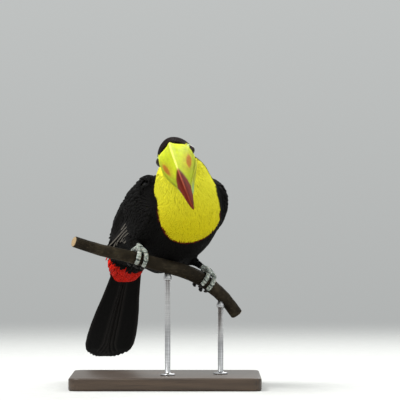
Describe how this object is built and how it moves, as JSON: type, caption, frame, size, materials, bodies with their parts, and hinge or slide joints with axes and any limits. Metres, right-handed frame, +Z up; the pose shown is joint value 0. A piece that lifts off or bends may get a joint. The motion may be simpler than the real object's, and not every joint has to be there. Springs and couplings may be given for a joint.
{
  "type": "keel-billed toucan",
  "caption": "Life-size keel-billed toucan crouched on a cut length of branch and peering past its long curved bill, held up by a plain flat stand.",
  "frame": {"origin": "middle of the stand base's underside", "axes": "+Z up; the bird faces -Y and a little towards +X, with its tail towards +Y; +X to the viewer's right when its face is seen"},
  "size_m": [0.21, 0.4001, 0.2759],
  "materials": {
    "plumage_black": "soft black plumage with a faint gloss",
    "plumage_yellow": "soft bright yellow plumage",
    "plumage_red": "soft scarlet plumage",
    "plumage_cream": "soft cream-white plumage",
    "bill_green": "satin horn, yellow-green with orange and maroon",
    "bill_blue": "satin horn, pale blue-green with a maroon tip",
    "eye": "wet dark gloss",
    "foot_skin": "matt scaly skin, pale blue-grey",
    "claw": "satin dark horn",
    "bark": "rough brown bark",
    "stand_wood": "dark satin varnish",
    "stand_metal": "brushed"
  },
  "bodies": {
    "root": {"bill_lower": "bill_blue", "bill_upper": "bill_green", "claw_left_inner_back": "claw", "claw_left_inner_front": "claw", "claw_left_outer_back": "claw", "claw_left_outer_front": "claw", "claw_right_inner_back": "claw", "claw_right_inner_front": "claw", "claw_right_outer_back": "claw", "claw_right_outer_front": "claw", "eye_left": "eye", "eye_right": "eye", "foot_left": "foot_skin", "foot_right": "foot_skin", "head": "plumage_black", "neck": "plumage_yellow", "perch": "bark", "shank_left": "foot_skin", "shank_right": "foot_skin", "stand_base": "stand_wood", "stand_rod_middle": "stand_metal", "stand_rod_right": "stand_metal", "tail": "plumage_black", "thigh_left": "plumage_black", "thigh_right": "plumage_black", "trunk": "plumage_black", "undertail_coverts": "plumage_red", "uppertail_coverts": "plumage_cream", "wing_left": "plumage_black", "wing_right": "plumage_black"}
  },
  "joints": []
}
